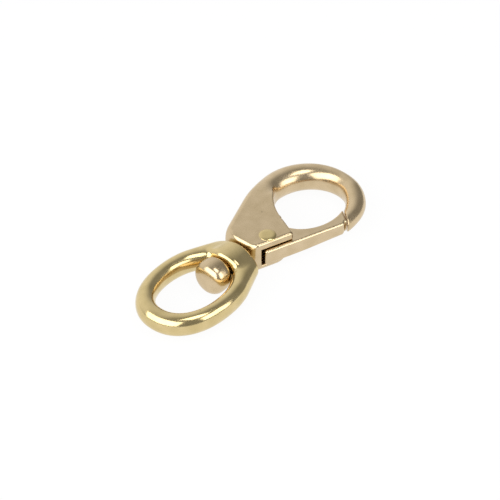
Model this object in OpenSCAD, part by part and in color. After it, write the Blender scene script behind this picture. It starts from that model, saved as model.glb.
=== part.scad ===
// Swivel-eye spring snap hook in cast brass. Millimetres.
// The swivel axis is X, with the centre of the eye's opening at the origin, and the part lies flat with +Z up.

/* [Swivel eye] */
// Length of the eye's opening along the swivel axis
eye_open_l = 29.2; // [26:0.1:34]
// Width of the eye's opening
eye_open_w = 19.2; // [17:0.1:24]
// Width of the ring at its outer end
eye_end_w = 6.8; // [5:0.1:9]
// Width of the ring at its sides
eye_side_w = 6; // [4.5:0.1:8]
// Thickness of the ring
eye_t = 7.7; // [6:0.1:9]
// Fullness of the eye's outer end: 2 is an ellipse, more is squarer
eye_fullness = 2.2; // [2:0.05:2.6]
// Fullness of the eye's opening beside the boss
mouth_fullness = 1.9; // [1.7:0.05:2.2]
// Length of the boss past the eye's opening
boss_l = 8.2; // [7:0.1:12]
// How far the boss's rim stands into the eye's opening
boss_lip = 0.8; // [0.4:0.1:1.5]
// Width of the boss's rim round the shank's head
boss_rim_w = 16.8; // [15:0.1:18]
// Height of the boss's rim
boss_rim_t = 12; // [10:0.1:12]
// Width of the boss's barrel at its outer end
boss_end_w = 14.6; // [11:0.1:16]
// Height of the boss's barrel at its outer end
boss_end_t = 10.8; // [9:0.1:12]
// Rounding of the boss's ends
boss_round = 1.2; // [0.6:0.1:1.6]
// Width of the ring's arms where they end beside the boss
arm_w = 18; // [14:0.1:19]

/* [Swivel shank] */
// Diameter of the shank in the boss
shank_d = 6; // [5:0.1:6.6]
// Diameter of the head on the shank's end
head_d = 12; // [10:0.1:12]
// Length of the head
head_l = 8.6; // [6:0.1:9]
// Clearance round the head in the eye
head_clear = 0.3; // [0.2:0.05:0.5]
// Radial clearance of the shank in its bore
swivel_clear = 0.08; // [0.03:0.01:0.1]
// Gap between the boss and the hook's base
base_gap = 0.6; // [0.4:0.1:1.2]

/* [Hook body] */
// Thickness of the fork plate
body_t = 12; // [11:0.1:13]
// Length from the base to the far end of the loop
hook_l = 53.9; // [52:0.1:64]
// Width of the base, across the swivel axis
base_w = 15.4; // [13:0.1:17]
// Rounding of the base's end
base_round = 1.5; // [0.8:0.1:2]
// Length of the loop's oval
loop_l = 39.4; // [38:0.1:44]
// Width of the loop across the swivel axis
loop_w = 38; // [36:0.1:42]
// Thickness of the loop
loop_t = 9.6; // [8:0.1:10.5]
// Fullness of the loop on its nose side: 2 is an ellipse, more is squarer
nose_fullness = 2.35; // [2:0.05:2.6]
// Thickness of the nose where it meets the gate
nose_t = 6.2; // [6:0.1:7]
// Width of the loop at its far end
loop_end_w = 6.9; // [5:0.1:8]
// Width of the loop at its closed side
loop_side_w = 8.8; // [7:0.1:10]
// Length of the hook's opening
hole_l = 29; // [27:0.1:31]
// Width of the hook's opening
hole_w = 23.8; // [22:0.1:25]

/* [Gate] */
// Thickness of the gate
gate_t = 5.7; // [4:0.1:5.8]
// Side clearance between the gate and each cheek
gate_clear = 0.4; // [0.2:0.05:0.6]
// Slope of the gate's outer face to the swivel axis
gate_slope = 20; // [18:0.5:22]
// Distance from the pin to the gate's outer face
gate_back = 4.4; // [4:0.1:5]
// Length of the gate's tail behind the pin
gate_tail = 3; // [2.5:0.1:3.6]
// Metal of the gate round the pin
tail_wall = 1.9; // [1.7:0.1:2.2]
// Chamfer on the outer corner of the gate's tip
tip_chamfer = 1.6; // [0.8:0.1:2.2]
// How far the gate stands proud of the cheeks
gate_proud = 1.1; // [0.4:0.1:1.6]
// Length from the pin to the gate's tip
gate_l = 30.2; // [28:0.1:32]
// Lean of the gate's tip face
tip_lean = 18.5; // [10:0.5:25]
// Gap between the gate's tip and the nose
tip_gap = 0.3; // [0.3:0.05:0.8]
// Chamfer along the cheeks' outer edges
cheek_chamfer = 1.2; // [0.6:0.1:1.6]
// Angle that the gate opens
gate_open = 28; // [20:1:32]
// Pin's distance from the base
pin_x = 7.8; // [7.4:0.1:9]
// Pin's distance from the swivel axis
pin_y = 4.8; // [4:0.1:5.5]
// Length of the fork's cheeks past the pin
fork_l = 8.5; // [8:0.1:10]
// Lean of the cheeks' straight ends
fork_lean = 2; // [0:0.5:6]
// Radius of the plate's inner edge, from the cheeks' ends to the loop
fork_bend = 24; // [20:0.5:30]

/* [Pin and spring] */
// Diameter of the gate pin
pin_d = 3; // [2:0.1:3.4]
// Radial clearance of the pin in the gate
pin_clear = 0.06; // [0.03:0.01:0.1]
// Diameter of the pin's heads
rivet_d = 5.9; // [5:0.1:6.6]
// Depth of each head in its cheek
rivet_sink = 0.7; // [0.5:0.1:1]
// Height of the upper head above its cheek
rivet_rise = 0.45; // [0.2:0.05:0.8]
// Outer diameter of the gate spring
spring_d = 3; // [2.4:0.1:3.2]
// Thickness of the spring's wire
spring_wire = 0.5; // [0.4:0.05:0.6]
// Turns of the spring
spring_turns = 6; // [4:1:8]
// Distance of the spring from the pin
spring_u = 4.6; // [4.3:0.1:5]
// Room round the spring in its pockets
spring_room = 0.6; // [0.4:0.1:0.8]
// Depth of the spring's pocket in the gate
gate_pocket = 1.4; // [1:0.1:1.6]
// Depth of the spring's pocket in the body
body_pocket = 1.8; // [1.2:0.1:2.4]

/* [Hidden] */
$fn = 64;

// Steps of the lofted shapes: stations round a loop and points round a section
stations = 96;
section_points = 24;

// Cast metal of the hook, polished metal of the eye, rivet and spring
hook_colour = [0.75, 0.65, 0.50];
eye_colour = [0.75, 0.66, 0.38];
pin_colour = [0.70, 0.66, 0.36];
spring_colour = [0.60, 0.60, 0.60];

// A margin by which a cut runs past what it cuts
over = 1;

// Places along the swivel axis
boss_inner = eye_open_l / 2;
boss_end = boss_inner + boss_l;
base_x = boss_end + base_gap;
loop_end = base_x + hook_l;
loop_x = loop_end - loop_l / 2;
boss_rim = boss_inner - boss_lip;
head_x = boss_rim - head_l / 2 - swivel_clear;
shank_root = 2.4;

// Eye: half sizes of its outer oval, the corner of its arms, and the squareness of its sections
eye_oval = [boss_inner + eye_end_w, eye_open_w / 2 + eye_side_w];
arm_corner = [boss_end, arm_w / 2];
ring_power = 2.1;
arm_power = 4;
boss_power = 2.2;
head_power = 2.4;
head_steps = 20;

// Hook: half sizes of its loop and its opening, their centres, and the corner of the base
loop_oval = [loop_l / 2, loop_w / 2];
loop_at = [loop_x, 0];
hole_oval = [hole_l / 2, hole_w / 2];
hole_at = [loop_end - loop_end_w - hole_l / 2, loop_w / 2 - loop_side_w - hole_w / 2];
base_corner = [loop_x - base_x, base_w / 2];

// Squareness of the hook's section: rounded loop, plate with a round outer edge and a crisp inner one
loop_power = 2.4;
plate_outer_power = 4;
plate_inner_power = 12;
plate_margin = 0.5;

// Squareness of the base's round end, and how much it widens along the hook
base_power = 2.4;
base_spread = 0.8;

// Steps of a rounded end, in degrees
round_step = 30;

// Directions from the centre of the loop between which the plate turns into the loop, and the loop into the nose
plate_from = 145;
loop_from = 95;
nose_from = -20;
nose_to = -65;

// Gate: pin place, slot and swept space
pin_at = [base_x + pin_x, -pin_y];
tail_r = pin_d / 2 + tail_wall;
slot_clear = 0.5;
slot_t = gate_t + 2 * gate_clear;
slot_spare = 4;
slot_wall = gate_open + slot_spare;
mouth_inner = tail_r + 2 * over;
mouth_outer = 3 * gate_back;

// Spring: the ends of its pockets along its axis
wall_v = (tail_r + slot_clear + spring_u * sin(slot_wall)) / cos(slot_wall);
spring_pocket = spring_d + spring_room;
gate_pocket_v = tail_r - gate_pocket;
body_pocket_v = wall_v + body_pocket;
spring_seat_gap = 0.08;
spring_sides = 8;
spring_steps = 14;

// Smooth step from 0 at a to 1 at b
function ramp(x, a, b) = let (t = min(1, max(0, (x - a) / (b - a)))) t * t * (3 - 2 * t);

// Value with the sign of x, for squared-off round sections
function signed_pow(x, e) = sign(x) * pow(abs(x), e);

// Distance from the centre to an oval in the direction a
function oval_reach(a, half, fullness) =
    1 / pow(pow(abs(cos(a)) / half.x, fullness) + pow(abs(sin(a)) / half.y, fullness), 1 / fullness);

// Slope of the straight line that leaves an oval at a tangent and runs to a corner, and where it leaves
function drop_side(half, fullness, corner) =
    let (points = [for (a = [1 : 89]) oval_reach(a, half, fullness) * [cos(a), sin(a)]])
    let (slopes = [for (p = points) atan2(p.y - corner.y, corner.x - p.x)])
    let (steepest = max(slopes))
    [steepest, 1 + search(steepest, slopes)[0]];

// Distance to a drop-shaped outline: an oval with straight sides that run to a flat end
function drop_reach(a, half, fullness, corner, side, flat_end) =
    abs(a) > side[1] ? oval_reach(a, half, fullness)
    : min(flat_end / cos(a), corner * [sin(side[0]), cos(side[0])] / sin(abs(a) + side[0]));

// One rounded section between an inner and an outer point, squarer with a higher power
function section(inner, outer, half_t, inner_power, outer_power) = [
    for (k = [0 : section_points - 1])
        let (a = 360 * k / section_points)
        let (power = cos(a) < 0 ? inner_power : outer_power)
        let (s = signed_pow(cos(a), 2 / power))
        let (p = (inner + outer) / 2 + s * (outer - inner) / 2)
        [p.x, p.y, half_t * signed_pow(sin(a), 2 / power)]
];

// Closed loft through sections that run round a loop
module loop_loft(sections) {
    n = len(sections);
    m = len(sections[0]);
    points = [for (s = sections) each s];
    faces = [
        for (i = [0 : n - 1], j = [0 : m - 1])
            let (i2 = (i + 1) % n, j2 = (j + 1) % m)
            let (a = i * m + j, b = i2 * m + j, c = i2 * m + j2, d = i * m + j2)
            each [[a, b, c], [a, c, d]]
    ];
    polyhedron(points, faces, convexity = 6);
}

// Loft with two flat ends through sections along an open path
module path_loft(sections) {
    n = len(sections);
    m = len(sections[0]);
    points = [for (s = sections) each s];
    sides = [
        for (i = [0 : n - 2], j = [0 : m - 1])
            let (j2 = (j + 1) % m)
            let (a = i * m + j, b = (i + 1) * m + j, c = (i + 1) * m + j2, d = i * m + j2)
            each [[a, b, c], [a, c, d]]
    ];
    ends = [[for (j = [0 : m - 1]) j], [for (j = [m - 1 : -1 : 0]) (n - 1) * m + j]];
    polyhedron(points, concat(sides, ends), convexity = 6);
}

// Round section across the swivel axis, squarer with a higher power
function cross_section(x, half_w, half_t, power) = [
    for (k = [0 : section_points - 1])
        let (a = 360 * k / section_points)
        [x, half_w * signed_pow(cos(a), 2 / power), half_t * signed_pow(sin(a), 2 / power)]
];

// Section of the eye: a round ring that grows into fuller arms beside the boss
eye_side = drop_side(eye_oval, eye_fullness, arm_corner);
function eye_section(a) =
    let (dir = [cos(a), sin(a)])
    let (power = arm_power + (ring_power - arm_power) * ramp(abs(a), 0, eye_side[1]))
    let (open_fullness = abs(a) < 90 ? mouth_fullness : eye_fullness)
    let (inner = dir * oval_reach(a, [boss_inner, eye_open_w / 2], open_fullness))
    let (outer = dir * drop_reach(a, eye_oval, eye_fullness, arm_corner, eye_side, boss_end + over))
    section(inner, outer, eye_t / 2, power, power);

// Section of the boss, part of the way from its rim to its outer end and inset by its rounding
function boss_section(x, inset) =
    let (along = (x - boss_rim) / (boss_end - boss_rim))
    let (half_w = boss_rim_w / 2 + (boss_end_w - boss_rim_w) / 2 * along)
    let (half_t = boss_rim_t / 2 + (boss_end_t - boss_rim_t) / 2 * along)
    cross_section(x, half_w - inset, half_t - inset, boss_power);

// Barrel-shaped boss that widens towards its rim, with both ends rounded
module boss() {
    path_loft([
        for (a = [0 : round_step : 90])
            boss_section(boss_rim + boss_round * (1 - cos(a)), boss_round * (1 - sin(a))),
        for (a = [90 : -round_step : 0])
            boss_section(boss_end - boss_round * (1 - cos(a)), boss_round * (1 - sin(a)))
    ]);
}

// Button-shaped head that was formed over on the shank's end, or with a clearance, the room that it turns in
module shank_head(clear = 0) {
    half = [head_d / 2 + clear, head_l / 2 + clear];
    half_profile = [
        for (i = [0 : head_steps])
            let (a = 180 * i / head_steps - 90)
            [half.x * signed_pow(cos(a), 2 / head_power), half.y * signed_pow(sin(a), 2 / head_power)]
    ];
    translate([head_x, 0, 0])
        rotate([0, 90, 0])
            rotate_extrude()
                polygon(half_profile);
}

// Cast eye: a rounded oval ring with a bored boss, hollowed for the shank's head
module swivel_eye() {
    color(eye_colour)
    difference() {
        union() {
            difference() {
                loop_loft([for (i = [0 : stations - 1]) eye_section(180 - 360 * i / stations)]);
                translate([boss_end, -arm_w, -body_t])
                    cube([2 * over, 2 * arm_w, 2 * body_t]);
            }
            boss();
        }
        shank_head(head_clear);
        rotate([0, 90, 0])
            cylinder(d = shank_d + 2 * swivel_clear, h = boss_end + over);
    }
}

// Point on the end of the cheeks, at a distance v inward from the pin's line
function fork_point(v) = [fork_l + v * tan(fork_lean), v];

// Place in the part's directions of a point given along the gate and inward from the pin
function gate_place(p) =
    pin_at + p.x * [cos(gate_slope), -sin(gate_slope)] + p.y * [sin(gate_slope), cos(gate_slope)];

// Distance from the opening's centre to the plate's curved inner edge, which carries on from the cheeks' ends
bend_at = gate_place(fork_point(mouth_inner) + fork_bend * [cos(fork_lean), -sin(fork_lean)]);
function bend_reach(a) =
    let (from = hole_at - bend_at)
    let (along = from * [cos(a), sin(a)])
    sqrt(along * along + fork_bend * fork_bend - from * from) - along;

// Section of the hook: a flat plate that grows into the round loop and thins to the nose
hook_side = drop_side(loop_oval, 2, base_corner);
function hook_section(a) =
    let (dir = [cos(a), sin(a)])
    let (plate = ramp(abs(a), loop_from, plate_from))
    let (nose = ramp(a, nose_from, nose_to))
    let (loop_half = (loop_t + (nose_t - loop_t) * nose) / 2)
    let (half_t = loop_half + (body_t / 2 + plate_margin - loop_half) * plate)
    let (inner = hole_at + dir * min(oval_reach(a, hole_oval, 2), bend_reach(a)))
    let (fullness = a < 0 && a > -90 ? nose_fullness : 2)
    let (reach = drop_reach(180 - abs(a), loop_oval, fullness, base_corner, hook_side, base_corner.x))
    let (outer = loop_at + dir * reach)
    let (inner_power = loop_power + (plate_inner_power - loop_power) * plate)
    let (outer_power = loop_power + (plate_outer_power - loop_power) * plate)
    section(inner, outer, half_t, inner_power, outer_power);

// Moves children into the closed gate's own directions: u along the gate, v inward, from the pin
module at_gate() {
    translate([pin_at.x, pin_at.y, 0])
        rotate([0, 0, -gate_slope])
            children();
}

// Point on the gate's tip face, at a distance v inward from the pin's line
function tip_point(v, gap) = [gate_l + v * tan(tip_lean) - gap / cos(tip_lean), v];

// Space between the cheeks in which the gate turns
module slot_outline() {
    wall_r = tail_r + slot_clear;
    wall = [cos(slot_wall), sin(slot_wall)];
    across = [-wall.y, wall.x];
    back = -gate_back - 2 * over;
    circle(r = wall_r);
    polygon([
        [-wall_r, back],
        [2 * fork_l, back],
        2 * fork_l * wall + wall_r * across,
        wall_r * across,
        [-wall_r, 0]
    ]);
}

// Mouth of the hook, between the ends of the cheeks and the nose
module mouth_outline() {
    polygon([
        fork_point(-mouth_outer),
        fork_point(mouth_inner),
        tip_point(mouth_inner, 0),
        tip_point(-mouth_outer, 0)
    ]);
}

// Space that rounds off the base's end and widens along the hook until it is clear of the plate
module base_envelope() {
    path_loft([
        for (a = [0 : round_step : 90])
            let (x = base_round * (1 - cos(a)))
            let (grow = base_spread * x - base_round * (1 - sin(a)))
            cross_section(base_x + x, base_w / 2 + grow, body_t / 2 + grow, base_power),
        let (grow = base_spread * (hook_l + over))
            cross_section(loop_end + over, base_w / 2 + grow, body_t / 2 + grow, base_power)
    ]);
}

// Pear-shaped blank with a rounded loop, flat on both faces of its plate and rounded at its base
module hook_blank() {
    intersection() {
        loop_loft([for (i = [0 : stations - 1]) hook_section(180 - 360 * i / stations)]);
        translate([base_x - over, -loop_w, -body_t / 2])
            cube([hook_l + 2 * over, 2 * loop_w, body_t]);
        base_envelope();
    }
}

// What is cut from the blank for the gate: cheeks set back, slot, mouth, spring pocket and pin holes
module gate_cuts() {
    translate([-gate_l, -gate_back + gate_proud - gate_l, -body_t])
        cube([gate_l + fork_l + over, gate_l, 2 * body_t]);
    for (side = [-1, 1])
        translate([0, -gate_back + gate_proud, side * body_t / 2])
            rotate([45, 0, 0])
                cube([2 * gate_l, sqrt(2) * cheek_chamfer, sqrt(2) * cheek_chamfer], center = true);
    translate([0, 0, -slot_t / 2])
        linear_extrude(slot_t)
            slot_outline();
    translate([0, 0, -body_t])
        linear_extrude(2 * body_t)
            mouth_outline();
    translate([spring_u, wall_v - over, 0])
        rotate([-90, 0, 0])
            cylinder(d = spring_pocket, h = body_pocket_v - wall_v + over);
    cylinder(d = pin_d, h = 2 * body_t, center = true);
    for (side = [-1, 1])
        translate([0, 0, side * body_t / 2])
            cylinder(d = rivet_d, h = 2 * rivet_sink, center = true);
}

// One casting: fork, loop, nose, base, and the shank with its head
module hook_body() {
    color(hook_colour)
    union() {
        difference() {
            hook_blank();
            at_gate()
                gate_cuts();
        }
        shank_head();
        translate([head_x, 0, 0])
            rotate([0, 90, 0])
                cylinder(d = shank_d, h = base_x - head_x + shank_root);
    }
}

// Outline of the gate in its own directions: round tail, straight back, and an inner edge along the opening
module gate_outline() {
    difference() {
        union() {
            circle(r = tail_r);
            polygon([
                [-gate_tail, -gate_back],
                [tip_point(-gate_back, tip_gap).x - tip_chamfer, -gate_back],
                tip_point(-gate_back + tip_chamfer, tip_gap),
                tip_point(tail_r, tip_gap),
                [0, tail_r],
                [0, 0],
                [-gate_tail, 0]
            ]);
        }
        rotate([0, 0, gate_slope])
            translate(hole_at - pin_at)
                polygon([
                    for (i = [0 : stations - 1])
                        let (a = 360 * i / stations)
                        [hole_oval.x * cos(a), hole_oval.y * sin(a)]
                ]);
    }
}

// Gate: a solid tongue that turns on the pin, with a pocket for the spring
module gate() {
    color(hook_colour)
    at_gate()
        difference() {
            translate([0, 0, -gate_t / 2])
                linear_extrude(gate_t)
                    gate_outline();
            cylinder(d = pin_d + 2 * pin_clear, h = 2 * gate_t, center = true);
            translate([spring_u, gate_pocket_v, 0])
                rotate([-90, 0, 0])
                    cylinder(d = spring_pocket, h = tail_r - gate_pocket_v + over);
        }
}

// Rivet through both cheeks: a shallow dome on top and a flush head below
module gate_pin() {
    dome_r = (rivet_d * rivet_d / 4 + rivet_rise * rivet_rise) / (2 * rivet_rise);
    color(pin_colour)
    at_gate()
        union() {
            cylinder(d = pin_d, h = body_t - 2 * rivet_sink, center = true);
            translate([0, 0, -body_t / 2])
                cylinder(d = rivet_d, h = rivet_sink);
            translate([0, 0, body_t / 2 - rivet_sink])
                intersection() {
                    cylinder(d = rivet_d, h = rivet_sink + rivet_rise);
                    translate([0, 0, rivet_sink + rivet_rise - dome_r])
                        sphere(r = dome_r);
                }
        }
}

// Compression spring that holds the gate against the nose
module gate_spring() {
    coil_r = (spring_d - spring_wire) / 2;
    first_v = gate_pocket_v + spring_seat_gap + spring_wire / 2;
    last_v = body_pocket_v - spring_wire / 2;
    count = spring_turns * spring_steps;
    sections = [
        for (i = [0 : count])
            let (a = 360 * i / spring_steps)
            let (v = first_v + (last_v - first_v) * i / count)
            [
                for (k = [0 : spring_sides - 1])
                    let (b = 360 * k / spring_sides)
                    let (r = coil_r + spring_wire / 2 * cos(b))
                    [spring_u + r * cos(a), v + spring_wire / 2 * sin(b), r * sin(a)]
            ]
    ];
    color(spring_colour)
    at_gate()
        path_loft(sections);
}

hook_body();
swivel_eye();
gate();
gate_pin();
gate_spring();
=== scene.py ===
"""Looks of a cast-brass swivel snap hook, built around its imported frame.

Shapes are fields that are negative inside the metal. Their lengths are millimetres in the part's own frame,
and the finished meshes are in metres.
"""
import math

import bpy
import numpy as np
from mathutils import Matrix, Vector


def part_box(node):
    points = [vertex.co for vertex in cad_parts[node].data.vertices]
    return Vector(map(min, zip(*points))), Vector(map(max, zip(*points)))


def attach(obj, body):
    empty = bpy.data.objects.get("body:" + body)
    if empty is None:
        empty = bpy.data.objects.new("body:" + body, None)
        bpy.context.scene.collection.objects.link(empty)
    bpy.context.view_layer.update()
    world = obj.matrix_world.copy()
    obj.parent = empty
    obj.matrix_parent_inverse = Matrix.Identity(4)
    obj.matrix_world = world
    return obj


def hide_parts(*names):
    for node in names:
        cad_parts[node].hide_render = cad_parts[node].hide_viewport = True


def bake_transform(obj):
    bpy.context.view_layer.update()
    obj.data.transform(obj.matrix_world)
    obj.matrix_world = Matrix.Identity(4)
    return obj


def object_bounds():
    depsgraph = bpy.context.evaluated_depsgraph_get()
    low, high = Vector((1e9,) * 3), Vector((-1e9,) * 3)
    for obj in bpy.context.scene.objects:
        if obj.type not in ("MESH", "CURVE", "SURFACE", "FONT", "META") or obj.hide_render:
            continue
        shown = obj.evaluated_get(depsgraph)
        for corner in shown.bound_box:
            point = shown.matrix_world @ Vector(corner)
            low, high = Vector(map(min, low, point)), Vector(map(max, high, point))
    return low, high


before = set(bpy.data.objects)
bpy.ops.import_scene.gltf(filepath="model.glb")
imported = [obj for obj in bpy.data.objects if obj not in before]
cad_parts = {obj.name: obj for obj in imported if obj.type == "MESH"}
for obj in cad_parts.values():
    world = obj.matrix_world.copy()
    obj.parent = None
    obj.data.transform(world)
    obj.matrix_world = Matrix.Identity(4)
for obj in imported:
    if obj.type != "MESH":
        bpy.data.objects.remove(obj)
cad_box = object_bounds()

MM = 0.001

# Eye: half sizes of its opening and outer oval, and the boss round the shank
EYE_OPENING = (14.6, 9.6)
EYE_OUTER = (21.4, 15.6)
EYE_FULLNESS = 2.2
EYE_MOUTH_FULLNESS = 1.9
EYE_HALF_T = 3.85
RING_POWER = 2.1
BOSS_INNER = 13.8
BOSS_END = 22.8
ARM_CORNER = 9.0
BOSS_HALF_W = (8.4, 7.3)
BOSS_HALF_T = (6.0, 5.4)
BOSS_POWER = 2.2
BOSS_CROWN = 30.0
BOSS_EDGE = 0.9
BOSS_RIM = 2.0
BOSS_FILLET = 1.0
BORE_R = 3.08
BORE_EDGE = 0.5

# Shank and head of the hook body
SHANK_R = 3.0
SHANK_ROOT = 2.4
HEAD_HALF = (4.3, 6.0)
HEAD_X = 9.42
HEAD_CLEAR = 0.3
HEAD_POWER = 3.0
HEAD_FILLET = 0.5

# Hook body: base, loop, opening and plate
BASE_X = 23.4
BASE_HALF_W = 7.7
BASE_EDGE = 2.0
COLLAR_EDGE = 0.5
BASE_POWER = 2.4
BASE_SPREAD = 0.8
LOOP_AT = (57.6, 0.0)
LOOP_OUTER = (19.7, 19.0)
LOOP_FULLNESS = 2.0
NOSE_FULLNESS = 2.35
LOOP_HALF_T = 4.8
NOSE_HALF_T = 3.1
LOOP_POWER = 2.0
HOLE_AT = (55.9, -1.7)
HOLE_OVAL = (14.5, 11.9)
HOLE_FULLNESS = 2.0
HOLE_BLEND = 1.0
PLATE_HALF_T = 6.0
PLATE_EDGE = 2.0
PLATE_INNER_EDGE = 0.6
LOOP_FROM = 90.0
PLATE_FROM = 136.0
NOSE_FROM = -20.0
NOSE_TO = -65.0

# Gate, its slot and its pin
PIN_AT = (31.2, -4.8)
GATE_SLOPE = 20.0
GATE_BACK = 4.4
GATE_TAIL = 3.0
GATE_PROUD = 1.1
GATE_L = 30.2
GATE_HALF_T = 2.85
GATE_EDGE = 0.9
GATE_UNDER_EDGE = 2.2
GATE_CORNER = 0.8
TIP_LEAN = 18.5
TIP_GAP = 0.3
TIP_CHAMFER = 1.6
TAIL_R = 3.4
FORK_L = 8.5
FORK_LEAN = 2.0
FORK_BEND = 24.0
FORK_OVERRUN = 1.0
CHEEK_EDGE = 1.1
CHEEK_UNDER_EDGE = 2.6
CHEEK_CORNER = 1.4
CHEEK_UNDER_CORNER = 6.5
MOUTH_EDGE = 0.5
MOUTH_CLEAR = 0.5
MOUTH_INNER = TAIL_R + 2.0
SLOT_R = TAIL_R + 0.5
SLOT_HALF_T = 3.25
SLOT_WALL = 32.0
SLOT_EDGE = 0.5
PIN_R = 1.5
PIN_CLEAR = 0.06
RIVET_R = 2.95
RIVET_SINK = 0.7
RIVET_RISE = 0.45
RIVET_FULLNESS = 6
RIVET_LAP = 0.35
RIVET_BURY = 0.15
RIVET_EDGE = 0.15
RIVET_SIDES = 72
RIVET_DOME_POINTS = 24
RIVET_SHARP = 40.0
RIVET_RIM = 0.1

# Spring in its pockets
SPRING_U = 4.6
SPRING_R = 1.5
SPRING_WIRE_R = 0.25
SPRING_TURNS = 6
SPRING_STEPS = 28
SPRING_SIDES = 12
SPRING_ENDS = (2.08, 9.27)
SPRING_POCKET_R = 1.8
POCKET_EDGE = 0.3

# Meshes: grid steps, the grid's margin, and how often points are settled, ground and their bends evened out
HOOK_STEP = 0.24
EYE_STEP = 0.24
GATE_STEP = 0.16
GRID_MARGIN = 1.5
SETTLE_ROUNDS = 4
PULL_ROUNDS = 2
GRIND_ROUNDS = 4
BEND_ROUNDS = 6

# Camera that took the photograph
CAMERA_AZIMUTH = 49.626
CAMERA_ELEVATION = 40.638
CAMERA_DISTANCE = 659.5
CAMERA_AIM = (26.954, -0.819, 0.0)
CAMERA_LENS = 143.18

# Finish: repeats per metre, depths of the relief in metres, and the tone painted into creases as their
# shade and gold reflection, with some tarnish
CLOUD_SCALE = 240
WAVE_SCALE = 110
CASTING_SCALE = 1500
PIT_SCALE = 520
BRUSH_SCALE = (700, 2600, 2600)
WAVE_DEPTH = 0.0004
BRUSH_DEPTH = 0.00001
PIT_DEPTH = 0.00008
CASTING_DEPTH = 0.0002
CREASE_SHADE_AND_TARNISH = (0.50, 0.33, 0.11, 1)

# Light: a lamp's distance in metres, the room and its lighter side, and the floor
LAMP_DISTANCE = 1.0
ROOM_LIGHT = 0.30
WALL_LIGHT = 0.98
WALL_TOWARDS = (10, 15)
WALL_SPREAD = (0.2, 1.0)
FLOOR_GLOW = 0.94
FLOOR_HALF = 3.0
PAPER = (0.95, 0.95, 0.95, 1)
WHITE = (1, 1, 1, 1)


# Fields: joining and cutting with rounded edges

def meet(a, b, radius):
    """What is inside both fields, with its outside edge rounded."""
    rounded = np.hypot(np.maximum(a + radius, 0), np.maximum(b + radius, 0))
    return np.minimum(np.maximum(a, b), -radius) + rounded


def join(a, b, radius):
    """What is inside either field, with a fillet between them."""
    return -meet(-a, -b, radius)


def cut(a, b, radius):
    """What is inside a and outside b, with its edge rounded."""
    return meet(a, -b, radius)


def ramp(value, start, end):
    """Smooth step from 0 at start to 1 at end."""
    t = np.clip((value - start) / (end - start), 0, 1)
    return t * t * (3 - 2 * t)


def rounded_norm(a, b, power):
    """Size of (a, b) in a norm whose unit circle is squarer with a higher power."""
    return (np.abs(a) ** power + np.abs(b) ** power) ** (1 / power)


def band(outer, inner, z, half_t, power):
    """Rounded bar between two outlines, from the depths inside the outer one and outside the inner one."""
    half_w = np.maximum(outer + inner, 1e-3) / 2
    across = (inner - outer) / (2 * half_w)
    return (rounded_norm(across, z / half_t, power) - 1) * np.minimum(half_w, half_t)


# Outlines in plan, given by their reach in each direction

class Outline:
    """Closed outline round a centre, with the depth of any point inside it."""

    SAMPLES = 7201

    def __init__(self, centre, reach):
        self.centre = centre
        self.angles = np.linspace(-np.pi, np.pi, self.SAMPLES)
        self.reach = reach(self.angles)
        slope = np.gradient(self.reach, self.angles) / self.reach
        self.facing = 1 / np.sqrt(1 + slope ** 2)

    def depth(self, x, y):
        dx = x - self.centre[0]
        dy = y - self.centre[1]
        angle = np.arctan2(dy, dx)
        gap = np.interp(angle, self.angles, self.reach) - np.hypot(dx, dy)
        return gap * np.interp(angle, self.angles, self.facing)


def oval_reach(angle, half, fullness):
    """Distance from the centre to an oval, which is squarer with a higher fullness."""
    return 1 / rounded_norm(np.cos(angle) / half[0], np.sin(angle) / half[1], fullness)


def drop_reach(angle, half, fullness, corner):
    """Reach of an oval whose sides leave it at a tangent and run straight through a corner towards +X."""
    probe = np.radians(np.linspace(1, 89, 881))
    edge = oval_reach(probe, half, fullness)
    slopes = np.arctan2(edge * np.sin(probe) - corner[1], corner[0] - edge * np.cos(probe))
    slope = slopes.max()
    leave = probe[slopes.argmax()]
    turn = np.abs(angle)
    side = (corner[0] * np.sin(slope) + corner[1] * np.cos(slope)) / np.sin(np.minimum(turn, leave) + slope)
    return np.where(turn > leave, oval_reach(angle, half, fullness), side)


def eye_outer_reach(angle):
    """Oval ring whose straight arms run to the boss's end."""
    return drop_reach(angle, EYE_OUTER, EYE_FULLNESS, (BOSS_END, ARM_CORNER))


def eye_opening_reach(angle):
    """Oval opening, a little more pointed towards the boss."""
    near_boss = np.abs(angle) < np.pi / 2
    at_boss = oval_reach(angle, EYE_OPENING, EYE_MOUTH_FULLNESS)
    return np.where(near_boss, at_boss, oval_reach(angle, EYE_OPENING, EYE_FULLNESS))


def hook_outer_reach(angle):
    """Pear outline whose straight sides run to the base, fuller on the side of the nose."""
    base_corner = (LOOP_AT[0] - BASE_X, BASE_HALF_W)
    pear = drop_reach(np.pi - np.abs(angle), LOOP_OUTER, LOOP_FULLNESS, base_corner)
    on_nose = (angle < 0) & (angle > -np.pi / 2)
    return np.where(on_nose, oval_reach(angle, LOOP_OUTER, NOSE_FULLNESS), pear)


def hook_hole_reach(angle):
    """Oval opening, with the plate's curved inner edge that carries on from the ends of the cheeks."""
    slope = math.radians(GATE_SLOPE)
    lean = math.radians(FORK_LEAN)
    u = FORK_L + MOUTH_INNER * math.tan(lean) + FORK_BEND * math.cos(lean)
    v = MOUTH_INNER - FORK_BEND * math.sin(lean)
    from_x = HOLE_AT[0] - PIN_AT[0] - u * math.cos(slope) - v * math.sin(slope)
    from_y = HOLE_AT[1] - PIN_AT[1] + u * math.sin(slope) - v * math.cos(slope)
    along = from_x * np.cos(angle) + from_y * np.sin(angle)
    bend = np.sqrt(along ** 2 + FORK_BEND ** 2 - from_x ** 2 - from_y ** 2) - along
    oval = oval_reach(angle, HOLE_OVAL, HOLE_FULLNESS)
    blend = np.maximum(HOLE_BLEND - np.abs(oval - bend), 0) / HOLE_BLEND
    return np.minimum(oval, bend) - blend ** 2 * HOLE_BLEND / 4


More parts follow.
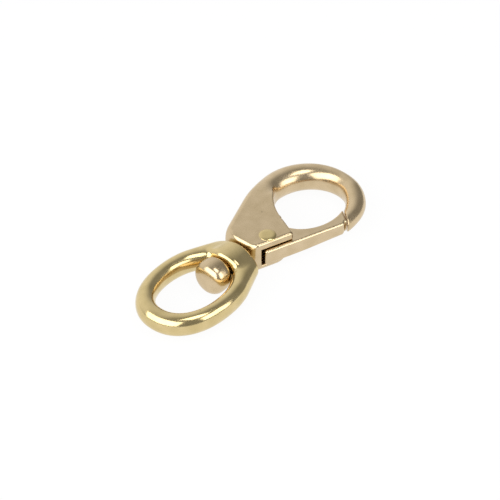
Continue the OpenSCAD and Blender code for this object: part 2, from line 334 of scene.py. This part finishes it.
EYE_OUTLINE = Outline((0.0, 0.0), eye_outer_reach)
EYE_HOLE = Outline((0.0, 0.0), eye_opening_reach)
HOOK_OUTLINE = Outline(LOOP_AT, hook_outer_reach)
HOOK_HOLE = Outline(HOLE_AT, hook_hole_reach)
GATE_SWEEP = Outline(HOLE_AT, lambda angle: oval_reach(angle, HOLE_OVAL, HOLE_FULLNESS))


def gate_axes(x, y):
    """Place along the closed gate and inward from it, from the pin."""
    slope = math.radians(GATE_SLOPE)
    dx = x - PIN_AT[0]
    dy = y - PIN_AT[1]
    return dx * math.cos(slope) - dy * math.sin(slope), dx * math.sin(slope) + dy * math.cos(slope)


def lean_line(u, v, start, lean):
    """Distance past a line that crosses the gate's axis at start and leans over."""
    angle = math.radians(lean)
    return (u - start) * math.cos(angle) - v * math.sin(angle)


# The solid pieces

def head_field(x, y, z):
    """Button-shaped head on the shank's end."""
    size = rounded_norm((x - HEAD_X) / HEAD_HALF[0], np.hypot(y, z) / HEAD_HALF[1], HEAD_POWER)
    return (size - 1) * HEAD_HALF[0]


def eye_field(p):
    """Rounded oval ring with a barrel-shaped, bored boss."""
    x, y, z = p.T
    ring = band(EYE_OUTLINE.depth(x, y), -EYE_HOLE.depth(x, y), z, EYE_HALF_T, RING_POWER)
    fall = np.clip((x - BOSS_INNER) / (BOSS_END - BOSS_INNER), 0, 1)
    half_w, half_t = (a + (b - a) * fall for a, b in (BOSS_HALF_W, BOSS_HALF_T))
    barrel = (rounded_norm(y / half_w, z / half_t, BOSS_POWER) - 1) * half_t
    end = x - BOSS_END + (y * y + z * z) / (2 * BOSS_CROWN)
    boss = meet(barrel, BOSS_INNER - x, BOSS_RIM)
    body = meet(join(ring, boss, BOSS_FILLET), end, BOSS_EDGE)
    bore = np.maximum(np.hypot(y, z) - BORE_R, -x)
    return cut(cut(body, head_field(x, y, z) - HEAD_CLEAR, BORE_EDGE), bore, BORE_EDGE)


def fork_cut(u, v, z):
    """What is taken off the plate beside the gate: past the cheeks' ends and along the gate's face."""
    mouth = np.maximum(-lean_line(u, v, FORK_L, FORK_LEAN), v - MOUTH_INNER)
    setback = np.maximum(v + GATE_BACK - GATE_PROUD, u - FORK_L - FORK_OVERRUN)
    return join(mouth, setback, np.where(z > 0, CHEEK_CORNER, CHEEK_UNDER_CORNER))


def hook_blank(x, y, z):
    """Casting before its mouth is cut: flat plate with its cheeks, rounded loop and thin nose."""
    outer = HOOK_OUTLINE.depth(x, y)
    inner = -HOOK_HOLE.depth(x, y)
    middle = [(a + b) / 2 for a, b in zip(LOOP_AT, HOLE_AT)]
    angle = np.degrees(np.arctan2(y - middle[1], x - middle[0]))
    half_t = LOOP_HALF_T + (NOSE_HALF_T - LOOP_HALF_T) * ramp(angle, NOSE_FROM, NOSE_TO)
    loop = band(outer, inner, z, half_t, LOOP_POWER)
    u, v = gate_axes(x, y)
    cheek_edge = np.where(z > 0, CHEEK_EDGE, CHEEK_UNDER_EDGE)
    inner_edge = cheek_edge + (PLATE_INNER_EDGE - cheek_edge) * ramp(v, 0, MOUTH_INNER)
    plate = meet(np.abs(z) - PLATE_HALF_T, -outer, PLATE_EDGE)
    plate = cut(plate, join(inner, fork_cut(u, v, z), HOLE_BLEND), inner_edge)
    blank = loop + (plate - loop) * ramp(np.abs(angle), LOOP_FROM, PLATE_FROM)
    spread = BASE_SPREAD * np.maximum(x - BASE_X, 0)
    collar = rounded_norm(y / (BASE_HALF_W + spread), z / (PLATE_HALF_T + spread), BASE_POWER) - 1
    return meet(meet(blank, collar * PLATE_HALF_T, COLLAR_EDGE), BASE_X - x, BASE_EDGE)


def slot_field(u, v, z):
    """Space between the cheeks in which the gate's tail turns."""
    wall = math.radians(SLOT_WALL)
    past_wall = v * math.cos(wall) - u * math.sin(wall) - SLOT_R
    sector = np.maximum(np.maximum(-u - SLOT_R, past_wall), v - u - SLOT_R)
    sector = np.maximum(sector, lean_line(u, v, FORK_L + FORK_OVERRUN, FORK_LEAN))
    plan = np.minimum(np.hypot(u, v) - SLOT_R, sector)
    return np.maximum(plan, np.abs(z) - SLOT_HALF_T)


def fork_field(p):
    """Blank with its mouth cut out between the cheeks and the nose."""
    x, y, z = p.T
    u, v = gate_axes(x, y)
    mouth = np.maximum(-lean_line(u, v, FORK_L + MOUTH_CLEAR, FORK_LEAN), lean_line(u, v, GATE_L, TIP_LEAN))
    return cut(hook_blank(x, y, z), np.maximum(mouth, v - MOUTH_INNER), MOUTH_EDGE)


def hook_field(p):
    """Whole hook casting: fork with its slot, spring pocket and pin holes, and the shank with its head."""
    x, y, z = p.T
    u, v = gate_axes(x, y)
    body = cut(fork_field(p), slot_field(u, v, z), SLOT_EDGE)
    pocket = np.maximum(np.hypot(u - SPRING_U, z) - SPRING_POCKET_R, v - SPRING_ENDS[1])
    body = cut(body, pocket, POCKET_EDGE)
    from_pin = np.hypot(u, v)
    counterbore = np.maximum(from_pin - RIVET_R + RIVET_LAP, PLATE_HALF_T - RIVET_SINK - np.abs(z))
    body = cut(body, np.minimum(counterbore, from_pin - PIN_R), RIVET_RIM)
    shank = np.maximum(np.hypot(y, z) - SHANK_R, np.maximum(HEAD_X - x, x - BASE_X - SHANK_ROOT))
    return join(body, join(head_field(x, y, z), shank, HEAD_FILLET), HEAD_FILLET)


def gate_field(p):
    """Tongue of the gate: round tail, straight back, chamfered tip and an inner edge along the opening."""
    x, y, z = p.T
    u, v = gate_axes(x, y)
    lean = math.radians(TIP_LEAN)
    back = -v - GATE_BACK
    tip = lean_line(u, v, GATE_L - TIP_GAP / math.cos(lean), TIP_LEAN)
    corner_u = GATE_L - GATE_BACK * math.tan(lean)
    chamfer = (u - corner_u - (v + GATE_BACK) + TIP_CHAMFER) * math.sqrt(0.5)
    ends = np.maximum(np.maximum(tip, chamfer), v)
    outer = meet(meet(back, -u - GATE_TAIL, GATE_CORNER), ends, MOUTH_EDGE)
    inner = np.maximum(np.maximum(-u, v - TAIL_R), np.maximum(tip, -v - TAIL_R))
    plan = np.minimum(np.minimum(outer, inner), np.hypot(u, v) - TAIL_R)
    plan = meet(plan, GATE_SWEEP.depth(x, y), MOUTH_EDGE)
    under = GATE_EDGE + (GATE_UNDER_EDGE - GATE_EDGE) * ramp(u, FORK_L, GATE_L)
    body = meet(plan, np.abs(z) - GATE_HALF_T, np.where(z > 0, GATE_EDGE, under))
    body = cut(body, np.hypot(u, v) - PIN_R - PIN_CLEAR, POCKET_EDGE)
    pocket = np.maximum(np.hypot(u - SPRING_U, z) - SPRING_POCKET_R, SPRING_ENDS[0] - v)
    return cut(body, pocket, POCKET_EDGE)


# Meshes from fields

def gradient(field, points, reach=0.02):
    """Slope of a field at each point."""
    slopes = []
    for axis in np.eye(3) * reach:
        slopes.append((field(points + axis) - field(points - axis)) / (2 * reach))
    return np.stack(slopes, -1)


def grid_surface(field, low, high, step):
    """Closed quad mesh near where the field is zero: one point per grid cell that the surface crosses."""
    axes = [np.arange(a - 2 * step, b + 3 * step, step) for a, b in zip(low, high)]
    grid = np.stack(np.meshgrid(*axes, indexing="ij"), -1)
    value = field(grid.reshape(-1, 3)).reshape(grid.shape[:3])
    cells = np.array(value.shape) - 1
    total = np.zeros((cells.prod(), 3))
    count = np.zeros(cells.prod())
    quads = []
    unit = np.eye(3, dtype=int)
    for axis in range(3):
        ahead, side = unit[(axis + 1) % 3], unit[(axis + 2) % 3]
        length = value.shape[axis]
        first = value.take(range(length - 1), axis)
        last = value.take(range(1, length), axis)
        at = np.argwhere((first < 0) != (last < 0))
        start = first[tuple(at.T)]
        share = start / (start - last[tuple(at.T)])
        crossing = grid[tuple(at.T)] + share[:, None] * unit[axis] * step
        corners = []
        for shift in (ahead + side, side, 0 * side, ahead):
            cell = np.ravel_multi_index((at - shift).T, cells)
            np.add.at(total, cell, crossing)
            np.add.at(count, cell, 1)
            corners.append(cell)
        faces = np.stack(corners, -1)
        faces[start >= 0] = faces[start >= 0, ::-1]
        quads.append(faces)
    used = np.flatnonzero(count)
    number = np.full(count.size, -1)
    number[used] = np.arange(used.size)
    return total[used] / count[used, None], number[np.concatenate(quads)]


def neighbour_mean(points, quads):
    """Mean place of each point's neighbours along the quads' edges."""
    total = np.zeros_like(points)
    count = np.zeros(len(points))
    for a, b in ((0, 1), (1, 2), (2, 3), (3, 0)):
        for here, there in ((a, b), (b, a)):
            np.add.at(total, quads[:, here], points[quads[:, there]])
            np.add.at(count, quads[:, here], 1)
    return total / count[:, None]


def settle(field, points, quads):
    """Evens out points along the surface and pulls them onto it. Returns them with their normals."""
    for _ in range(SETTLE_ROUNDS):
        slope = gradient(field, points)
        size = np.linalg.norm(slope, axis=1, keepdims=True)
        normal = slope / size
        drift = neighbour_mean(points, quads) - points
        drift -= normal * (drift * normal).sum(1, keepdims=True)
        points = points + drift / 2 - normal * field(points)[:, None] / size
    for _ in range(PULL_ROUNDS):
        slope = gradient(field, points)
        square = (slope ** 2).sum(1, keepdims=True)
        points = points - slope * field(points)[:, None] / square
    slope = gradient(field, points)
    return points, slope / np.linalg.norm(slope, axis=1, keepdims=True)


def make_mesh(name, points, faces, normals=None):
    """Smooth-shaded object from points in millimetres."""
    mesh = bpy.data.meshes.new(name)
    mesh.from_pydata((points * MM).tolist(), [], faces)
    mesh.update()
    mesh.polygons.foreach_set("use_smooth", [True] * len(mesh.polygons))
    if normals is not None:
        mesh.normals_split_custom_set_from_vertices(normals.tolist())
    piece = bpy.data.objects.new(name, mesh)
    bpy.context.scene.collection.objects.link(piece)
    return piece


def paint(piece, name, values):
    """Stores one number per point for the materials to read."""
    attribute = piece.data.attributes.new(name, "FLOAT", "POINT")
    attribute.data.foreach_set("value", np.asarray(values, np.float32))


def cast_piece(name, node, field, step):
    """Meshes a field inside its node's box, with how hollow or raised each point is."""
    box = np.array(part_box(node)) / MM
    low, high = box[0] - GRID_MARGIN, box[1] + GRID_MARGIN
    points, quads = grid_surface(field, low, high, step)
    points, normals = settle(field, points, quads)
    piece = make_mesh(name, points, quads.tolist(), normals)
    bend = ((neighbour_mean(points, quads) - points) * normals).sum(1, keepdims=True) / step ** 2
    for _ in range(BEND_ROUNDS):
        bend = (bend + neighbour_mean(bend, quads)) / 2
    paint(piece, "hollow", np.clip(bend[:, 0], 0, 1))
    paint(piece, "raised", np.clip(-bend[:, 0], 0, 1))
    return piece


def lathe(profile, sides):
    """Closed turned piece from (radius, height) points that start and end on the axis."""
    turn = np.linspace(0, 2 * np.pi, sides, endpoint=False)
    rings = []
    for radius, height in profile[1:-1]:
        rings.append(np.stack([radius * np.cos(turn), radius * np.sin(turn), np.full(sides, height)], -1))
    points = np.concatenate([[(0, 0, profile[0][1])], *rings, [(0, 0, profile[-1][1])]])
    faces = []
    for i in range(sides):
        j = (i + 1) % sides
        faces.append([0, 1 + j, 1 + i])
        for k in range(len(rings) - 1):
            base = 1 + k * sides
            faces.append([base + i, base + j, base + sides + j, base + sides + i])
        base = 1 + (len(rings) - 1) * sides
        faces.append([base + i, base + j, len(points) - 1])
    return points, faces


# Pin and spring

def place_on_gate(points):
    """Points given along the gate, inward and up, moved into the part's frame."""
    slope = math.radians(GATE_SLOPE)
    along = np.array([math.cos(slope), -math.sin(slope), 0])
    inward = np.array([math.sin(slope), math.cos(slope), 0])
    up = np.array([0, 0, 1])
    start = np.array([*PIN_AT, 0])
    return start + points[:, :1] * along + points[:, 1:2] * inward + points[:, 2:] * up


def rivet_profile():
    """Turned profile from the flush head below, through the pin, to the domed head on top."""
    flat_r = RIVET_R - RIVET_EDGE
    profile = [(0, -PLATE_HALF_T), (flat_r, -PLATE_HALF_T), (RIVET_R, -PLATE_HALF_T + RIVET_EDGE)]
    profile += [(RIVET_R, -PLATE_HALF_T + RIVET_SINK), (PIN_R, -PLATE_HALF_T + RIVET_SINK)]
    dome = RIVET_RISE + RIVET_BURY
    dome_r = RIVET_R * (dome / RIVET_RISE) ** (1 / RIVET_FULLNESS)
    profile += [(PIN_R, PLATE_HALF_T - RIVET_SINK), (dome_r, PLATE_HALF_T - RIVET_SINK)]
    for share in np.sin(np.linspace(np.pi / 2, 0, RIVET_DOME_POINTS)):
        profile.append((dome_r * share, PLATE_HALF_T + RIVET_RISE - dome * share ** RIVET_FULLNESS))
    return profile


def grind(points, field):
    """Moves points that stand out of a field's surface down onto it."""
    for _ in range(GRIND_ROUNDS):
        slope = gradient(field, points)
        square = (slope ** 2).sum(1, keepdims=True)
        points = points - slope * np.maximum(field(points), 0)[:, None] / square
    return points


def make_pin():
    """Rivet with a domed head, and a lower head that is ground flush with the cheek."""
    points, faces = lathe(rivet_profile(), RIVET_SIDES)
    points = place_on_gate(points)
    below = points[:, 2] < 0
    points[below] = grind(points[below], fork_field)
    piece = make_mesh("gate_pin_rivet", points, faces)
    piece.data.set_sharp_from_angle(angle=math.radians(RIVET_SHARP))
    return piece


def make_spring():
    """Coil of round wire between the two pockets."""
    count = SPRING_TURNS * SPRING_STEPS
    coil_r = SPRING_R - SPRING_WIRE_R
    first, last = SPRING_ENDS[0] + SPRING_WIRE_R, SPRING_ENDS[1] - SPRING_WIRE_R
    around = np.linspace(0, 2 * np.pi, SPRING_SIDES, endpoint=False)
    rings = []
    for i in range(count + 1):
        turn = 2 * np.pi * i / SPRING_STEPS
        r = coil_r + SPRING_WIRE_R * np.cos(around)
        v = first + (last - first) * i / count + SPRING_WIRE_R * np.sin(around)
        rings.append(np.stack([SPRING_U + r * np.cos(turn), v, r * np.sin(turn)], -1))
    faces = []
    for i in range(count):
        here, there = i * SPRING_SIDES, (i + 1) * SPRING_SIDES
        for k in range(SPRING_SIDES):
            j = (k + 1) % SPRING_SIDES
            faces.append([here + k, here + j, there + j, there + k])
    caps = [list(range(SPRING_SIDES))[::-1], list(range(count * SPRING_SIDES, (count + 1) * SPRING_SIDES))]
    return make_mesh("gate_spring_coil", place_on_gate(np.concatenate(rings)), faces + caps)


# Materials

def add(tree, kind, inputs=None, **settings):
    """New shader node. An input is a value or another node's output."""
    node = tree.nodes.new(kind)
    for key, value in settings.items():
        setattr(node, key, value)
    for key, value in (inputs or {}).items():
        if isinstance(value, bpy.types.NodeSocket):
            tree.links.new(value, node.inputs[key])
        else:
            node.inputs[key].default_value = value
    return node


def noise(tree, place, scale, detail):
    """Cloudy value round 0.5 at each place."""
    inputs = {"Vector": place, "Scale": scale, "Detail": detail}
    return add(tree, "ShaderNodeTexNoise", inputs).outputs["Fac"]


def span(tree, value, start, end, low, high, kind="LINEAR"):
    """Value that runs from low at start to high at end."""
    ends = {"From Min": start, "From Max": end, "To Min": low, "To Max": high}
    node = add(tree, "ShaderNodeMapRange", {"Value": value, **ends}, interpolation_type=kind)
    return node.outputs["Result"]


def work_out(tree, operation, a, b):
    """Arithmetic on two values."""
    return add(tree, "ShaderNodeMath", {0: a, 1: b}, operation=operation).outputs["Value"]


def blend(tree, share, a, b, kind="MIX"):
    """Colour a changed by a share of colour b."""
    inputs = {"Factor": share, "A": a, "B": b}
    return add(tree, "ShaderNodeMix", inputs, data_type="RGBA", blend_type=kind).outputs["Result"]


def relief(tree, height, strength, depth, under=None):
    """Bump of a given depth in metres, over another bump."""
    inputs = {"Height": height, "Strength": strength, "Distance": depth}
    if under:
        inputs["Normal"] = under
    return add(tree, "ShaderNodeBump", inputs).outputs["Normal"]


def pit_mask(tree, place, share):
    """0 in sparse round pits and 1 elsewhere."""
    cells = add(tree, "ShaderNodeTexVoronoi", {"Vector": place, "Scale": PIT_SCALE})
    spots = span(tree, cells.outputs["Distance"], 0.05, 0.13, 0, 1)
    chance = add(tree, "ShaderNodeTexWhiteNoise", {"Vector": cells.outputs["Position"]}).outputs["Value"]
    return work_out(tree, "MAXIMUM", spots, work_out(tree, "LESS_THAN", chance, 1 - share))


def metal(name, tone, deep, roughness, waves, pits):
    """Metal with cloudy colour, polishing waves, fine grain, pits with painted shade, and rough hollows
    with painted shade, reflection and tarnish.
    """
    material = bpy.data.materials.new(name)
    material.use_nodes = True
    tree = material.node_tree
    shader = tree.nodes["Principled BSDF"]
    shader.inputs["Metallic"].default_value = 1.0
    place = add(tree, "ShaderNodeTexCoord").outputs["Object"]
    hollow = add(tree, "ShaderNodeAttribute", attribute_name="hollow").outputs["Fac"]
    raised = add(tree, "ShaderNodeAttribute", attribute_name="raised").outputs["Fac"]
    along = add(tree, "ShaderNodeMapping", {"Vector": place, "Scale": BRUSH_SCALE}).outputs["Vector"]
    lines = noise(tree, along, 1.0, 4)
    clear = pit_mask(tree, place, pits)

    cloud = span(tree, noise(tree, place, CLOUD_SCALE, 4), 0.3, 0.7, 0, 1)
    colour = blend(tree, cloud, deep, tone)
    # Pits are darkened to 0.35 of the colour: painted shade inside them
    colour = blend(tree, 1.0, colour, span(tree, clear, 0, 1, 0.35, 1), "MULTIPLY")
    # Hollows take a brown-gold tone: painted shade and gold inter-reflection, with some tarnish
    colour = blend(tree, span(tree, hollow, 0.1, 0.6, 0, 0.6), colour, CREASE_SHADE_AND_TARNISH)
    tree.links.new(colour, shader.inputs["Base Color"])

    gloss = span(tree, lines, 0.3, 0.7, *roughness)
    gloss = work_out(tree, "MULTIPLY", gloss, span(tree, raised, 0.05, 0.4, 1, 0.7))
    tree.links.new(gloss, shader.inputs["Roughness"])

    normal = relief(tree, noise(tree, place, WAVE_SCALE, 1), waves, WAVE_DEPTH)
    normal = relief(tree, lines, 0.04, BRUSH_DEPTH, normal)
    normal = relief(tree, clear, 0.5, PIT_DEPTH, normal)
    unpolished = span(tree, hollow, 0.08, 0.4, 0, 1)
    casting = work_out(tree, "MULTIPLY", noise(tree, place, CASTING_SCALE, 3), unpolished)
    normal = relief(tree, casting, 0.5, CASTING_DEPTH, normal)
    tree.links.new(normal, shader.inputs["Normal"])
    return material


# Stage

def compass(azimuth, elevation):
    """Direction at an azimuth clockwise from +Y and an elevation, both in degrees."""
    azimuth, elevation = math.radians(azimuth), math.radians(elevation)
    level = math.cos(elevation)
    return Vector((math.sin(azimuth) * level, math.cos(azimuth) * level, math.sin(elevation)))


def softbox(name, azimuth, elevation, size, radiance):
    """Soft lamp aimed at the part, with a given brightness over its face."""
    lamp = bpy.data.lights.new(name, "AREA")
    lamp.shape = "RECTANGLE"
    lamp.size, lamp.size_y = size
    lamp.energy = 4 * radiance * size[0] * size[1]
    holder = bpy.data.objects.new(name, lamp)
    towards = compass(azimuth, elevation)
    holder.location = Vector(CAMERA_AIM) * MM + towards * LAMP_DISTANCE
    holder.rotation_euler = (-towards).to_track_quat("-Z", "Y").to_euler()
    holder.visible_camera = False
    bpy.context.scene.collection.objects.link(holder)


def make_floor(height):
    """Wide pale floor that shows white and keeps a soft shadow."""
    corners = FLOOR_HALF * np.array([(-1, -1), (1, -1), (1, 1), (-1, 1)])
    mesh = bpy.data.meshes.new("floor")
    mesh.from_pydata([(x, y, height) for x, y in corners], [], [(0, 1, 2, 3)])
    floor = bpy.data.objects.new("floor", mesh)
    bpy.context.scene.collection.objects.link(floor)
    material = bpy.data.materials.new("floor_white")
    material.use_nodes = True
    tree = material.node_tree
    tree.nodes.clear()
    path = add(tree, "ShaderNodeLightPath").outputs
    seen = work_out(tree, "MAXIMUM", path["Is Camera Ray"], path["Is Glossy Ray"])
    seen = work_out(tree, "MAXIMUM", seen, path["Is Transmission Ray"])
    share = work_out(tree, "MULTIPLY", seen, FLOOR_GLOW)
    paper = add(tree, "ShaderNodeBsdfDiffuse", {"Color": PAPER}).outputs["BSDF"]
    glow = add(tree, "ShaderNodeEmission", {"Color": WHITE, "Strength": 1.0}).outputs["Emission"]
    mixed = add(tree, "ShaderNodeMixShader", {0: share, 1: paper, 2: glow}).outputs["Shader"]
    add(tree, "ShaderNodeOutputMaterial", {"Surface": mixed})
    mesh.materials.append(material)


def make_camera():
    """Camera at the photograph's viewing angle."""
    forward = compass(CAMERA_AZIMUTH, -CAMERA_ELEVATION)
    camera = bpy.data.cameras.new("camera")
    camera.lens = CAMERA_LENS
    camera.clip_start = 0.01
    holder = bpy.data.objects.new("camera", camera)
    holder.location = (Vector(CAMERA_AIM) - forward * CAMERA_DISTANCE) * MM
    holder.rotation_euler = forward.to_track_quat("-Z", "Y").to_euler()
    bpy.context.scene.collection.objects.link(holder)
    bpy.context.scene.camera = holder


def make_world():
    """Grey room with one lighter side."""
    world = bpy.data.worlds.new("studio")
    world.use_nodes = True
    tree = world.node_tree
    towards = add(tree, "ShaderNodeTexCoord").outputs["Generated"]
    sides = {0: towards, 1: compass(*WALL_TOWARDS)}
    facing = add(tree, "ShaderNodeVectorMath", sides, operation="DOT_PRODUCT").outputs["Value"]
    light = span(tree, facing, *WALL_SPREAD, ROOM_LIGHT, WALL_LIGHT, "SMOOTHSTEP")
    tree.links.new(light, tree.nodes["Background"].inputs["Strength"])
    tree.nodes["Background"].inputs["Color"].default_value = WHITE
    bpy.context.scene.world = world


def dress(piece, node, material):
    """Gives a piece its material and lets it stand for its node."""
    piece.data.materials.append(material)
    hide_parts(node)


# The part's pieces and their finishes

hook_brass = metal("hook_brass", tone=(0.68, 0.535, 0.34, 1), deep=(0.585, 0.455, 0.275, 1),
                   roughness=(0.20, 0.29), waves=0.5, pits=0.05)
eye_brass = metal("eye_brass", tone=(0.715, 0.57, 0.295, 1), deep=(0.615, 0.49, 0.235, 1),
                  roughness=(0.14, 0.21), waves=1.0, pits=0.03)
gate_brass = metal("gate_brass", tone=(0.68, 0.54, 0.35, 1), deep=(0.595, 0.465, 0.285, 1),
                   roughness=(0.17, 0.25), waves=0.5, pits=0.03)
pin_brass = metal("pin_brass", tone=(0.72, 0.58, 0.29, 1), deep=(0.635, 0.505, 0.24, 1),
                  roughness=(0.15, 0.22), waves=0.2, pits=0.0)
spring_steel = metal("spring_steel", tone=(0.60, 0.60, 0.60, 1), deep=(0.50, 0.50, 0.50, 1),
                     roughness=(0.25, 0.35), waves=0.1, pits=0.0)

hook = cast_piece("hook_casting", "hook_body", hook_field, HOOK_STEP)
eye = cast_piece("eye_casting", "swivel_eye", eye_field, EYE_STEP)
gate = cast_piece("gate_tongue", "gate", gate_field, GATE_STEP)
pin = make_pin()
spring = make_spring()

dress(hook, "hook_body", hook_brass)
dress(eye, "swivel_eye", eye_brass)
dress(gate, "gate", gate_brass)
dress(pin, "gate_pin", pin_brass)
dress(spring, "gate_spring", spring_steel)
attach(hook, "hook")
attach(eye, "eye")
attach(gate, "gate")
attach(pin, "hook")
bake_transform(spring)

# Floor, light and camera

make_floor(cad_box[0][2])
make_world()
softbox("left_softbox", azimuth=-90, elevation=33, size=(1.6, 1.0), radiance=2.1)
softbox("right_softbox", azimuth=164, elevation=24, size=(0.6, 0.6), radiance=2.1)
softbox("top_softbox", azimuth=172, elevation=68, size=(0.45, 0.5), radiance=2.4)
make_camera()
bpy.context.scene.view_settings.view_transform = "Standard"
